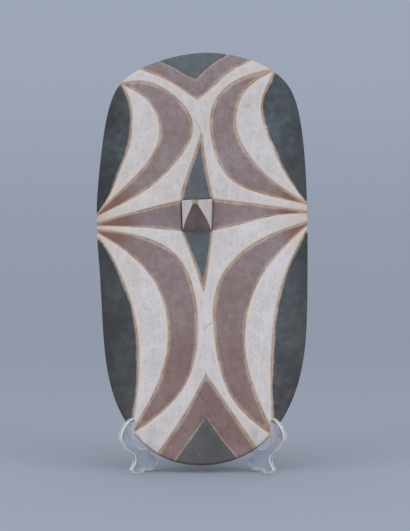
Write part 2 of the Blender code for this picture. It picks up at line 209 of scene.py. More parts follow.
bossShape = {
    "base": [(-35.5, 83.5), (15.5, 86), (13.5, 33), (-33.5, 33)],
    "tip": [(-18.6, 68), (-7, 68), (-8.8, 61), (-16.8, 61)],
    "foot": 4,
    "footInset": 1.3,
    "height": 52,
    "rings": 12,
    "belly": 0.09,  # the arrises bow out sideways
    "cornerRound": 1.6,
    "cornerPull": 0.83,  # how much a rounded corner's middle point is drawn to the corner
    "arrisRound": (1.3, 1.0),  # at the foot and at the tip
    "dome": ((0.8, 0.5), (0.4, 0.9)),  # the tip's rings: their size and rise
    "domeRise": 1.0,
    "sideParts": 13,
    "gapDepth": 1.8,  # the cut round the boss is this much deeper
    "gapWidth": 3.5,
    "gapShadowAndDirt": (0.85, 0.7, 0.12, 0.15),  # dirt and painted shadow in the cut: on its left, top, right and bottom
    "footRing": (0.4, 0.8, 0.1),  # its lowest ring: its rise, wear, and dirt with painted shadow
    "yellowFrom": 0.7,  # the white yellows from this share of the height,
    "yellowCut": (2.55, 1.5),  # as if it lay this near a cut, and nearer at the tip
    "shade": ((0, 0.35, 0.65, 0.9, 1), (1.05, 1.03, 0.92, 0.92, 1)),
}
topLeft, topRight, bottomRight, bottomLeft = bossShape["base"]

# The cut lines between the colours.
borders = {
    "panelTopLeft": [
        (-139, 297), (-121, 257), (-118, 214), (-122, 180), (-137, 139), (-152, 100), (-177, 60),
    ],
    "moonTopLeftIn": [(-139, 294), (-87, 256), (-71, 198), (-92, 148), (-131, 106), (-177, 62)],
    "moonTopLeftOut": [
        (-139, 292), (-93, 293), (-35, 252), (-18, 206), (-40, 158), (-78, 116), (-120, 88),
        (-177, 61),
    ],
    "panelTopRight": [(120, 316), (96, 251), (109, 192), (134, 135), (173, 79)],
    "moonTopRightIn": [(121, 318), (69, 278), (53, 214), (74, 162), (113, 119), (172, 81)],
    "moonTopRightOut": [
        (122, 319), (54, 294), (16, 247), (17, 179), (44, 122), (103, 96), (173, 82),
    ],
    "bandLeftUp": [topLeft, (-106, 67), (-177, 48)],
    "bandLeftLow": [bottomLeft, (-102, 41), (-177, 47)],
    "bandRightUp": [topRight, (87, 78), (173, 69)],
    "bandRightLow": [bottomRight, (63, 46), (114, 61), (173, 68)],
    "lozengeTopLeft": [topLeft, (-34, 98), (-21, 141), (-3, 199)],
    "lozengeTopRight": [topRight, (4, 142), (-3, 199)],
    "lozengeLowLeft": [bottomLeft, (-15, -18), (0.5, -67)],
    "lozengeLowRight": [bottomRight, (8, -18), (0.5, -67)],
    "moonLowLeftOut": [(-178, 40), (-52, -1), (-11, -98), (-30, -220), (-115, -297)],
    "moonLowLeftIn": [(-177, 39), (-78, -49), (-58, -175), (-114, -297)],
    "panelLowLeft": [(-178, 33), (-159, 11), (-107, -120), (-113, -298)],
    "moonLowRightOut": [(173, 54), (81, 11), (25, -55), (19, -144), (47, -241), (111, -299)],
    "moonLowRightIn": [(173, 52), (89, -47), (66, -170), (111, -300)],
    "panelLowRight": [(173, 49), (127, -51), (108, -173), (109, -300)],
    "chevronTopLeft": [(-10, 260), (-60, 297), (-111, 320)],
    "chevronTopRight": [(-10, 260), (20, 288), (50, 316), (86, 335)],
    "capTopLeft": [(-11, 296.5), (-32, 306), (-49, 318), (-82, 333)],
    "capTopRight": [(-11, 296.5), (11, 320), (45, 344)],
    "chevronLowLeft": [(4, -203.5), (-29, -266), (-72, -329)],
    "chevronLowRight": [(4, -203.5), (42, -259), (83, -318)],
    "capLowLeft": [(5, -268), (-46, -339)],
    "capLowRight": [(5, -268), (27, -300), (57, -336)],
}

# Scratches where the knife ran past a corner or slipped.
slips = {
    "pastTheLozenge": [(-3, 199), (-7, 211), (-12, 223)],
    "acrossTheWhite": [(1, -131), (7, -125), (12, -120)],
    "pastTheChevron": [(4, -203.5), (3.6, -196)],
}

# Which finish lies where: later fields cover earlier ones. A sign turns a border round, and a pair
# of numbers is a corner beyond the rim.
fields = [
    ("soot", ["+panelTopLeft", (-220, 60), (-220, 297)]),
    ("soot", ["+panelTopRight", (220, 79), (220, 316)]),
    ("soot", ["+panelLowLeft", (-220, -298), (-220, 33)]),
    ("soot", ["+panelLowRight", (220, -300), (220, 49)]),
    ("redEarth", ["+moonTopLeftOut", "-moonTopLeftIn"]),
    ("redEarth", ["+moonTopRightOut", "-moonTopRightIn"]),
    ("redEarth", ["+moonLowLeftOut", "-moonLowLeftIn"]),
    ("redEarth", ["+moonLowRightOut", "-moonLowRightIn"]),
    ("redEarth", ["+bandLeftUp", "-bandLeftLow"]),
    ("redEarth", ["+bandRightUp", "-bandRightLow"]),
    ("thinSoot", ["+lozengeTopLeft", "-lozengeTopRight"]),
    ("thinSoot", ["+lozengeLowLeft", "-lozengeLowRight"]),
    ("redEarth", ["-chevronTopLeft", "+chevronTopRight", (86, 400), (-111, 400)]),
    ("redEarth", ["-chevronLowLeft", "+chevronLowRight", (83, -400), (-72, -400)]),
    ("thinSoot", ["-capTopLeft", "+capTopRight", (45, 400), (-82, 400)]),
    ("thinSoot", ["-capLowLeft", "+capLowRight", (57, -400), (-46, -400)]),
]

# The finishes in the order of their numbers on the faces. Each has its own colour, the colour it
# turns to in broad patches, that of its flecks, and its roughness.
finishes = {
    "chalkWhite": ("#dfdad9", "#d5ccc8", "#b3aca8", 0.9),
    "redEarth": ("#988989", "#8c7876", "#72595a", 0.82),
    "soot": ("#4c5459", "#353b3f", "#272b2f", 0.6),
    "thinSoot": ("#61676c", "#545a5c", "#43474a", 0.62),
    "darkEarth": ("#8a7674", "#776260", "#9c8d89", 0.75),
    "handledWood": ("#bfa68c", "#a58a6e", "#7a6148", 0.6),
    # The rim's edge wood is paler than the bare wood: painted bounce light from the floor.
    "rimWoodBounceLit": ("#a4968a", "#8c7c6f", "#6f5d50", 0.75),
    "bareWood": ("#866a4e", "#66503a", "#4c3a2a", 0.8),
}
finishNumber = {name: number for number, name in enumerate(finishes)}
bareWood = finishNumber["bareWood"]

# Where the cuts meet, hands have rubbed the paint, and the red there is painted darker, partly as
# painted shade of the narrow channels: the place and its reach.
starPoints = [
    (-177, 54, 90), (173, 71, 78), (-139, 294, 26), (121, 318, 22), (-114, -297, 24),
    (111, -299, 22),
]
# Soft marks in each finish: the place, its reach, and how much lighter or darker it is. Most are
# painted light: sheen on the black panels, shade over the upper white and on the red near the left
# star. Some small ones are spots in the paint.
marksAndPaintedLight = {
    "chalkWhite": [
        (73, 249, 4, -0.2), (80, 202, 4, -0.14), (-8, 225, 150, -0.09), (-172, 57, 16, -0.15),
    ],
    "redEarth": [
        (47, 138, 4, -0.3), (5, -250, 60, -0.12), (-30, -150, 14, -0.1), (20, -190, 60, -0.06),
        (-96, 50, 44, -0.12),
    ],
    "soot": [
        (122, 214, 24, 0.6), (128, 176, 22, 0.36), (-128, 178, 24, 0.3), (-150, 228, 16, -0.28),
        (128, -60, 30, 0.15), (124, -175, 100, 0.34), (-124, -30, 24, 0.15), (131, -130, 4, -0.35),
        (111, 223, 4, -0.45), (122, 241, 4, -0.3), (134, 150, 16, -0.2), (-168, 90, 60, -0.2),
        (-170, 20, 40, -0.2),
    ],
    "thinSoot": [(-10, 320, 40, 0.06)],
}

borderLines = {name: smoothCurve(points, shape["lineGap"]) for name, points in borders.items()}
slipLines = [smoothCurve(points, shape["lineGap"]) for points in slips.values()]
rimLine = smoothCurve(shape["outline"], shape["lineGap"] + 0.6, closed=True)


def fieldOutline(parts):
    corners = []
    for part in parts:
        if isinstance(part, str):
            corners += borderLines[part[1:]][:: 1 if part[0] == "+" else -1].tolist()
        else:
            corners.append(part)
    return np.array(corners, float)


fieldOutlines = [(finishNumber[name], fieldOutline(parts)) for name, parts in fields]


def finishAt(points):
    finish = np.zeros(len(points), int)
    for number, outline in fieldOutlines:
        finish[inside(points, outline)] = number
    return finish


def faceLevel(points):
    bends = 2 * np.array([shape["crossRadius"], shape["lengthRadius"]])
    return -(points**2 / bends).sum(axis=1)


def handMade(points):
    # The unevenness that scraping leaves: broad hollows, and shallow strokes along the grain.
    return ripple(points, "hollows") + ripple(points, "strokes")


def carvedLevel(points, gap, isSlip, finish):
    lower = np.where(finish > 0, shape["fieldDepth"], 0.0)
    shoulder = np.where(finish > 0, shape["fieldShoulder"], shape["whiteShoulder"])
    shoulder = np.where(isSlip, shape["slipShoulder"], shoulder)
    depth = np.where(isSlip, shape["slipDepth"], shape["cutDepth"] - lower)
    # The wall of a cut is straight up to its lip, which is worn round.
    wall = np.interp(gap / shoulder, [0, *shape["lip"]], [1, shape["lipDepth"], 0])
    level = -lower - depth * wall
    level -= np.where(isSlip, 0, shape["softEdge"] * np.exp(-gap / shape["softReach"]))
    return faceLevel(points) + level + handMade(points)


def toneAt(points, finish):
    # How light the paint is: the black panels are painted darker towards the rim as painted sheen,
    # and marks, mostly painted sheen and shade, add to it.
    darker = np.interp(np.abs(points[:, 0]), *shape["panelSheenFade"])
    tone = 1 - np.where(finish == finishNumber["soot"], darker, 0)
    for name, places in marksAndPaintedLight.items():
        for u, v, reach, change in places:
            away = np.linalg.norm(points - (u, v), axis=1)
            change = change * np.exp(-((away / reach) ** 2))
            tone += np.where(finish == finishNumber[name], change, 0)
    return tone


def starAt(points):
    star = np.zeros(len(points))
    for u, v, reach in starPoints:
        star = np.maximum(star, np.clip(1 - np.linalg.norm(points - (u, v), axis=1) / reach, 0, 1))
    return star**1.5


def roundedQuad(corners, radius, sideParts):
    # A loop round four corners, each corner rounded with three points.
    corners = np.array(corners, float)
    loop = []
    for k in range(4):
        before, corner, after = corners[k - 1], corners[k], corners[(k + 1) % 4]
        toBefore = (before - corner) / np.linalg.norm(before - corner)
        toAfter = (after - corner) / np.linalg.norm(after - corner)
        first, last = corner + toBefore * radius, corner + toAfter * radius
        pull = bossShape["cornerPull"]
        middle = (first + last + corner * pull) / (2 + pull)
        loop += [first, middle, last]
        nextStart = after - toAfter * radius
        loop += [last + (nextStart - last) * i / sideParts for i in range(1, sideParts)]
    return np.array(loop)


def shoulderLines(line, isSlip, allLines):
    # Lines along a cut at its lip, left out where another cut is nearer.
    side = sideways(line)
    for sign in (-1, 1):
        finish = finishAt(line + sign * side)
        width = np.where(finish > 0, shape["fieldShoulder"], shape["whiteShoulder"])
        if isSlip:
            width = np.full(len(line), shape["slipShoulder"])
        for share in shape["lip"][: 1 if isSlip else 2]:
            lip = line + sign * side * (width * share)[:, None]
            kept = gapTo(lip, allLines)[0] > shape["crossing"] * width * share
            changes = np.flatnonzero(np.diff(kept.astype(int))) + 1
            for piece in np.split(np.arange(len(lip)), changes):
                if kept[piece[0]] and len(piece) > 1:
                    yield lip[piece]


def loosePoints(outline, gap, lines, clear):
    rows = []
    wide, high = shape["halfWidth"], shape["halfHeight"]
    for row, v in enumerate(np.arange(-high, high, gap * shape["rowStep"])):
        u = np.arange(-wide, wide, gap) + gap / 2 * (row % 2)
        rows.append(np.column_stack([u, np.full(len(u), v)]))
    points = np.vstack(rows)
    points = points[inside(points, outline)]
    return points[gapTo(points, [closedUp(outline), *lines])[0] > clear]


def triangulate(lines, loops, points, keep=None):
    corners, edges = [], []
    for line in [*lines, *map(closedUp, loops)]:
        first = len(corners)
        corners += [Vector(point) for point in line.tolist()]
        edges += [(first + i, first + i + 1) for i in range(len(line) - 1)]
    corners += [Vector(point) for point in points.tolist()]
    joinWithin = shape["joinWithin" if keep else "sameWithin"]
    corners, _, faces, *_ = delaunay_2d_cdt(corners, edges, [], 1, joinWithin)
    corners = np.array([tuple(corner) for corner in corners])
    faces = np.array(faces)
    if keep:
        faces = faces[keep(corners[faces].mean(axis=1))]
    used = np.unique(faces)
    renumber = np.zeros(len(corners), int)
    renumber[used] = np.arange(len(used))
    return corners[used], renumber[faces]


def boundaryLoops(faces):
    pairs = {(a, b) for face in faces.tolist() for a, b in zip(face, face[1:] + face[:1])}
    follows = {a: b for a, b in pairs if (b, a) not in pairs}
    rings = []
    while follows:
        start, after = follows.popitem()
        ring = [start]
        while after != start:
            ring.append(after)
            after = follows.pop(after)
        rings.append(ring)
    return sorted(rings, key=len)


# The whole skin of the board is gathered here, then made into one mesh. Each point knows how far
# outside the bare wood of a cut it is (cut: 0 at the bottom, 1 where paint starts), how near a
# meeting of cuts (star), how light (tone, with painted sheen and shade in it) and how dark with
# old dirt and painted shadow.
skin = {"points": [], "faces": [], "finish": [], "cut": [], "star": [], "tone": [], "grimeAndShade": []}
pointValues = ["cut", "star", "tone", "grimeAndShade"]
farFromCuts = 9  # in shares of the way to the paint


def addPoints(flat, w, cut=farFromCuts, star=0, tone=1, grimeAndShade=0):
    first = len(skin["points"])
    skin["points"] += np.column_stack([flat[:, 0], -w, flat[:, 1]]).tolist()
    for name, value in zip(pointValues, (cut, star, tone, grimeAndShade)):
        skin[name] += np.broadcast_to(value, len(flat)).tolist()
    return list(range(first, first + len(flat)))


def addStrip(lower, upper, finish):
    # Quads between two rings of the same length. The upper one is returned, to go on from.
    count = len(lower)
    for i in range(count):
        j = (i + 1) % count
        skin["faces"].append((lower[i], lower[j], upper[j], upper[i]))
    skin["finish"] += np.broadcast_to(finish, count).tolist()
    return upper


def outwardsFrom(loop):
    # The direction square to a closed loop at each point, pointing out of it.
    out = sideways(loop, True)
    return -out if inside((loop[0] + out[0])[None], loop)[0] else out


def besideWhite(line):
    side = shape["sideProbe"] * sideways(line)
    return ((finishAt(line + side) == 0) | (finishAt(line - side) == 0)).mean() > 0.5


def bareShare(points, gap, nearest, finish, cuts):
    # How far towards the paint each point is, from 0 in a cut to 1 where the paint starts.
    coloured = finish > 0
    byWhite = np.array([besideWhite(line) for line in cuts])[nearest]
    width = np.where(finish > finishNumber["redEarth"], shape["sootBare"], shape["fieldBare"])
    width = np.where(byWhite, width, shape["narrowBare"])
    width = width * (1 + ripple(points, "bareWidth"))
    star = starAt(points)
    near, tip = np.clip(3 * star, 0, 1), np.clip(4 * star - 3, 0, 1)
    width *= 1 - shape["starBare"] * near + shape["tipBare"] * tip
    width = np.where(coloured, width, shape["whiteBare"])
    width = np.where(nearest == len(borderLines), shape["bossBare"], width)
    width = np.where(nearest > len(borderLines), shape["slipShoulder"], width)
    return np.where(byWhite, 0, shape["faintCut"]) + gap / width


def buildFace():
    gapLine = roundedQuad(bossShape["base"], bossShape["cornerRound"], bossShape["sideParts"])
    inset = rimLine - outwardsFrom(rimLine) * shape["rimRound"]
    cuts = [*borderLines.values(), closedUp(gapLine), *slipLines]
    firstSlip = len(cuts) - len(slipLines)
    lines = [*borderLines.values(), *slipLines]
    for i, line in enumerate(cuts):
        lines += list(shoulderLines(line, i >= firstSlip, cuts))
    loose = loosePoints(inset, shape["faceGap"], [*lines, closedUp(gapLine)], shape["faceClear"])
    loose = loose[~inside(loose, gapLine)]

    def onFace(points):
        return inside(points, inset) & ~inside(points, gapLine)

    flat, faces = triangulate(lines, [inset, gapLine], loose, onFace)
    gap, nearest = gapTo(flat, cuts)
    isSlip = nearest >= firstSlip
    finish = finishAt(flat)
    level = carvedLevel(flat, gap, isSlip, finish)
    cut = bareShare(flat, gap, nearest, finish, cuts)
    tone = toneAt(flat, finish)
    grimeAndShade = np.zeros(len(flat))
    bossRing, rimRing = boundaryLoops(faces)
    # The deep cut round the boss is painted dark, most of all on its left: old dirt, and painted
    # shadow in the cut.
    level[bossRing] -= bossShape["gapDepth"]
    u, v = flat[bossRing].T
    width = bossShape["gapWidth"]
    sides = [u < bottomLeft[0] + width, v > topLeft[1] - width, u > bottomRight[0] - width]
    *darkening, darkeningBelow = bossShape["gapShadowAndDirt"]
    grimeAndShade[bossRing] = np.select(sides, darkening, darkeningBelow)
    front = addPoints(flat, level, cut, starAt(flat), tone, grimeAndShade)
    skin["faces"] += faces.tolist()
    skin["finish"] += finishAt(flat[faces].mean(axis=1)).tolist()
    rim = {
        "ring": [front[i] for i in rimRing],
        "line": flat[rimRing],
        "level": level[rimRing],
        "looks": [cut[rimRing], starAt(flat[rimRing]), tone[rimRing]],
    }
    return [front[i] for i in bossRing], rim


bossRing, rim = buildFace()
print("carved face:", len(skin["points"]), "points,", len(skin["faces"]), "faces")


def buildRim():
    # Over the rounded rim, down the edge and under to the back.
    start, startLevel = rim["line"], rim["level"]
    out = outwardsFrom(start)
    back = faceLevel(start) - shape["thickness"]
    finish = finishAt((start + np.roll(start, -1, axis=0)) / 2)
    radius = shape["rimRound"]
    ring = rim["ring"]
    darkenedShare = np.interp(start[:, 1], shape["rimDarkeningRise"], (0, 1))
    for turn, darkening in shape["rimDarkening"]:
        angle = math.radians(turn)
        spread = start + out * radius * math.sin(angle)
        w = startLevel - radius * (1 - math.cos(angle))
        here = addPoints(spread, w, *rim["looks"], darkening * darkenedShare)
        ring = addStrip(ring, here, finish)
    edge = start + out * radius
    # The edge takes the paler rim wood, a painted bounce light; the black keeps its soot.
    edgeFinish = np.where(finish == finishNumber["soot"], finish, finishNumber["rimWoodBounceLit"])
    for share in shape["edgeRings"]:
        low = startLevel - radius + (back + radius - startLevel + radius) * share
        bulge = math.sin(math.pi * min(share, 0.95)) * ripple(edge, "edge", share)
        here = addPoints(edge + out * bulge[:, None], low)
        ring = addStrip(ring, here, edgeFinish)
    for turn in (60, 30, 0):
        angle = math.radians(turn)
        spread = start + out * radius * math.sin(angle)
        here = addPoints(spread, back + radius * (1 - math.cos(angle)))
        ring = addStrip(ring, here, bareWood)
    return start, ring


backEdge, backRing = buildRim()


def buildBack():
    # The back follows the face, and keeps the shallow facets of the adze that hollowed it.
    loose = loosePoints(backEdge, shape["backGap"], [], shape["backClear"])
    backFlat, faces = triangulate([], [backEdge], loose)
    backWood = faceLevel(backFlat) - shape["thickness"]
    rimGap = gapTo(backFlat, [closedUp(backEdge)])[0]
    facets = np.abs(ripple(backFlat, "adze")) + ripple(backFlat, "backHollows")
    backWood += facets * np.clip(rimGap / shape["adzeFade"], 0, 1)
    index = addPoints(backFlat, backWood)
    # The outermost points are those of the rim's last ring, so they are shared.
    tree = kdtree.KDTree(len(backRing))
    for at, (u, v) in zip(backRing, backEdge.tolist()):
        tree.insert((u, v, 0), at)
    tree.balance()
    for i, (u, v) in enumerate(backFlat.tolist()):
        _, at, away = tree.find((u, v, 0))
        if away < shape["sameWithin"]:
            index[i] = at
    skin["faces"] += [(index[c], index[b], index[a]) for a, b, c in faces.tolist()]
    skin["finish"] += [bareWood] * len(faces)


buildBack()


def buildBoss():
    # A four-sided pyramid on a low upright foot, with a blunt tip worn to the wood. Its left and
    # right sides are white, its upper and lower ones dark.
    base, tip = np.array(bossShape["base"], float), np.array(bossShape["tip"], float)
    middle = base.mean(axis=0)
    ground = float(faceLevel(middle[None])[0])
    inwards = (middle - base) / np.linalg.norm(middle - base, axis=1)[:, None]
    foot = base + inwards * bossShape["footInset"]
    radius, parts = bossShape["cornerRound"], bossShape["sideParts"]
    outline = roundedQuad(base, radius, parts)
    count = len(outline)
    # The hole in the face is met point by point, starting from the same corner.
    hole = np.array([skin["points"][at] for at in bossRing])[:, (0, 2)]
    ring = [bossRing[np.argmin(((hole - point) ** 2).sum(axis=1))] for point in outline]
    side = (np.arange(count) - 1) // (count // 4) % 4
    finish = np.where(side % 2, finishNumber["chalkWhite"], finishNumber["darkEarth"])

    def addRing(corners, w, cornerRadius, cut, tone=1, grimeAndShade=0):
        loop = roundedQuad(corners, cornerRadius, parts)
        return addPoints(loop, np.full(count, w), cut, 0, tone, grimeAndShade)

    # The lowest ring is painted a little dark too, painted shadow at the boss's foot.
    low, wear, darkening = bossShape["footRing"]
    here = addRing(foot, ground + low, radius, wear, 1, darkening)
    ring = addStrip(ring, here, finish)
    for k in range(bossShape["rings"] + 1):
        share = k / bossShape["rings"]
        height = bossShape["foot"] + (bossShape["height"] - bossShape["foot"]) * share
        corners = foot + (tip - foot) * share
        centre = corners.mean(axis=0)[0]
        bow = 1 + bossShape["belly"] * math.sin(math.pi * share)
        corners[:, 0] = centre + (corners[:, 0] - centre) * bow
        rounded = np.interp(share, (0, 1), bossShape["arrisRound"])
        # Towards the tip the white has yellowed, as it does beside a cut.
        start = bossShape["yellowFrom"]
        yellowed = np.interp(share, (start, 1), bossShape["yellowCut"])
        wear = farFromCuts if share < start else yellowed
        # The lower side is darkest two thirds of the way up.
        tone = np.where(side == 2, np.interp(share, *bossShape["shade"]), 1)
        here = addRing(corners, ground + height, rounded, wear, tone)
        ring = addStrip(ring, here, finish)
    # The blunt tip is slightly domed.
    centre = tip.mean(axis=0)
    peak = ground + bossShape["height"]
    for shrink, rise in bossShape["dome"]:
        corners = centre + (tip - centre) * shrink
        here = addRing(corners, peak + rise, bossShape["arrisRound"][1] * shrink, farFromCuts)
        ring = addStrip(ring, here, finishNumber["handledWood"])
    top = addPoints(centre[None], peak + bossShape["domeRise"])[0]
    for i in range(count):
        skin["faces"].append((ring[i], ring[(i + 1) % count], top))
    skin["finish"] += [finishNumber["handledWood"]] * count


buildBoss()


def selectOnly(piece):
    bpy.ops.object.select_all(action="DESELECT")
    piece.select_set(True)
    bpy.context.view_layer.objects.active = piece


def addPiece(mesh):
    piece = bpy.data.objects.new(mesh.name, mesh)
    bpy.context.scene.collection.objects.link(piece)
    return piece


def boxOf(piece):
    corners = np.array([piece.matrix_world @ vert.co for vert in piece.data.vertices])
    return corners.min(axis=0), corners.max(axis=0)


def standAs(piece, node, turn):
    # Turned as it stands, then moved until its box has the middle of the CAD node's box.
    selectOnly(piece)
    piece.rotation_euler = turn
    bpy.ops.object.transform_apply(location=True, rotation=True, scale=True)
    mine, theirs = boxOf(piece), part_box(node)
    piece.location = Vector(np.add(*map(np.array, theirs)) / 2) - Vector(np.add(*mine) / 2)
    bpy.ops.object.transform_apply(location=True, rotation=True, scale=True)


def addValues(mesh, name, domain, values):
    attribute = mesh.attributes.new(name, "FLOAT", domain)
    attribute.data.foreach_set("value", np.array(values, np.float32))


def buildShield():
    mesh = bpy.data.meshes.new("carvedShield")
    mesh.from_pydata((np.array(skin["points"]) * mm).tolist(), [], skin["faces"])
    addValues(mesh, "finish", "FACE", skin["finish"])
    for name in pointValues:
        addValues(mesh, name, "POINT", skin[name])
    piece = addPiece(mesh)
    selectOnly(piece)
    bpy.ops.object.mode_set(mode="EDIT")
    bpy.ops.mesh.select_all(action="SELECT")
    bpy.ops.mesh.normals_make_consistent(inside=False)
    bpy.ops.object.mode_set(mode="OBJECT")
    return piece


shield = buildShield()
print("shield skin:", len(shield.data.vertices), "points")

gripShape = {
    "side": -8,
    "path": [(-30, -8.5), (-16, -35), (14, -50), (58, -54), (102, -50), (132, -35), (146, -8.5)],
    "width": 28,
    "depth": 18,
    "flare": 1.35,
    "pointGap": 4,
}


def buildGrip():
    # An oval section swept along the bow, as a curve that is then made a mesh.
    bpy.ops.object.select_all(action="DESELECT")
    bpy.ops.curve.primitive_bezier_circle_add(radius=1)
    section = bpy.context.object
    section.scale = (gripShape["width"] / 2 * mm, gripShape["depth"] / 2 * mm, 1)
    bpy.ops.object.transform_apply(location=False, rotation=False, scale=True)
    section.data.resolution_u = 8
    bpy.ops.curve.primitive_nurbs_path_add()
    bow = bpy.context.object
    path = smoothCurve(gripShape["path"], gripShape["pointGap"])
    bow.data.splines.clear()
    spline = bow.data.splines.new("POLY")
    spline.points.add(len(path) - 1)
    for i, (point, (v, w)) in enumerate(zip(spline.points, path)):
        point.co = (gripShape["side"] * mm, -w * mm, v * mm, 1)
        share = abs(2 * i / (len(path) - 1) - 1)
        point.radius = 1 + (gripShape["flare"] - 1) * share**3
    bow.data.dimensions = "3D"
    bow.data.bevel_mode = "OBJECT"
    bow.data.bevel_object = section
    bow.data.use_fill_caps = True
    selectOnly(bow)
    bpy.ops.object.convert(target="MESH")
    bpy.data.objects.remove(section)
    bow.name = "gripShape"
    bpy.ops.object.mode_set(mode="EDIT")
    bpy.ops.mesh.select_all(action="SELECT")
    bpy.ops.mesh.remove_doubles(threshold=0.00001)
    bpy.ops.mesh.normals_make_consistent(inside=False)
    bpy.ops.object.mode_set(mode="OBJECT")
    addValues(bow.data, "finish", "FACE", [bareWood] * len(bow.data.polygons))
    return bow


def plainBareWood(mesh):
    # The union leaves stray values on the grip: wood that no paint touches gets its own again.
    finish = np.empty(len(mesh.polygons), np.float32)
    mesh.attributes["finish"].data.foreach_get("value", finish)
    painted = np.zeros(len(mesh.vertices), bool)
    for face in mesh.polygons:
        if round(finish[face.index]) != bareWood:
            painted[face.vertices] = True
    for name, plain in zip(pointValues, (farFromCuts, 0, 1, 0)):
        values = np.empty(len(mesh.vertices), np.float32)
        mesh.attributes[name].data.foreach_get("value", values)
        values[~painted] = plain
        mesh.attributes[name].data.foreach_set("value", values)


grip = buildGrip()
joining = shield.modifiers.new("grip", "BOOLEAN")
joining.operation = "UNION"
joining.solver = "EXACT"
joining.object = grip
selectOnly(shield)
bpy.ops.object.modifier_apply(modifier=joining.name)
bpy.data.objects.remove(grip)
plainBareWood(shield.data)
bpy.ops.object.shade_smooth_by_angle(angle=math.radians(38))
standAs(shield, "shield", (-math.radians(shape["lean"]), 0, 0))


def linear(code):
    # An sRGB hex colour as the linear values that a shader takes.
    values = [int(code[i : i + 2], 16) / 255 for i in (1, 3, 5)]
    return tuple(((v + 0.055) / 1.055) ** 2.4 if v > 0.04045 else v / 12.92 for v in values) + (1,)


def perMetre(size):
    # A texture's scale for spots of about this many millimetres.
    return 1 / (size * mm)


def newMaterial(name):
    material = bpy.data.materials.new(name)
    material.use_nodes = True
    return material, material.node_tree, material.node_tree.nodes["Principled BSDF"]


def addNode(tree, kind, inputs=None, **settings):
    # One shader node. An input is a plain value, a socket, or a node whose main output it takes.
    node = tree.nodes.new("ShaderNode" + kind)
    for setting, value in settings.items():
        setattr(node, setting, value)
    for socket, value in (inputs or {}).items():
        if isinstance(value, bpy.types.Node):
            value = next(output for output in value.outputs if output.enabled)
        if isinstance(value, bpy.types.NodeSocket):
            tree.links.new(value, node.inputs[socket])
        else:
            node.inputs[socket].default_value = value
    return node


# Clear cast acrylic, moulded and flame-polished. It is colourless. Its arrises, and a little its
# edge faces, are painted whiter: a painted highlight for the light that runs inside the plastic and
# comes out there.
acrylicLooks = {
    # name: (colour, transmission, alpha, roughness, refraction)
    "clearAcrylic": ("#f4f7fc", 0.9, 0.75, 0.03, 1.49),
    "arrisHighlightAcrylic": ("#ffffff", 0.24, 0.93, 0.18, 1.49),
    "edgeHighlightAcrylic": ("#f6f9fd", 0.75, 0.8, 0.05, 1.49),
}


def clearAcrylic(name):
    material, tree, shader = newMaterial(name)
    colour, *values = acrylicLooks[name]
    shader.inputs["Base Color"].default_value = linear(colour)
    for socket, value in zip(("Transmission Weight", "Alpha", "Roughness", "IOR"), values):
        shader.inputs[socket].default_value = value
    return material


wingShape = {
    "thickness": 6,
    "angle": 30,
    "seamGap": 0.3,
    "pointGap": 2.2,
    "edgeRound": 1.3,
    # s runs forward from the rear seam along the plate, and z up from the floor.
    "profile": [
        [(0, 0), (0, 168)],
        [(0, 168), (38, 208), (76, 231), (102, 237), (113.6, 226)],
        [(113.6, 226), (164.6, 50)],
        [(164.6, 50), (164.2, 42), (166.4, 37), (170.5, 35.2)],
        [(170.5, 35.2), (192, 37.2)],
        [(192, 37.2), (204, 43), (211.5, 55), (212.5, 68), (210.5, 79), (213.5, 86), (221, 87)],
        [
            (221, 87), (240, 77), (251, 61), (243, 48), (226, 37), (213, 29), (210, 20), (216, 13),
            (220, 8),
        ],
        [(220, 8), (213, 2), (203, 0)],
        [(203, 0), (190, 0)],
        [
            (190, 0), (182, 6), (173, 1.5), (162, 1.5), (151, 5), (146, 12), (149, 19), (156, 21),
            (158, 26),
        ],
        [(158, 26), (151, 31), (128, 37), (100, 56), (70, 60), (46, 46), (36, 20), (34, 0)],
        [(34, 0), (0, 0)],
    ],
}


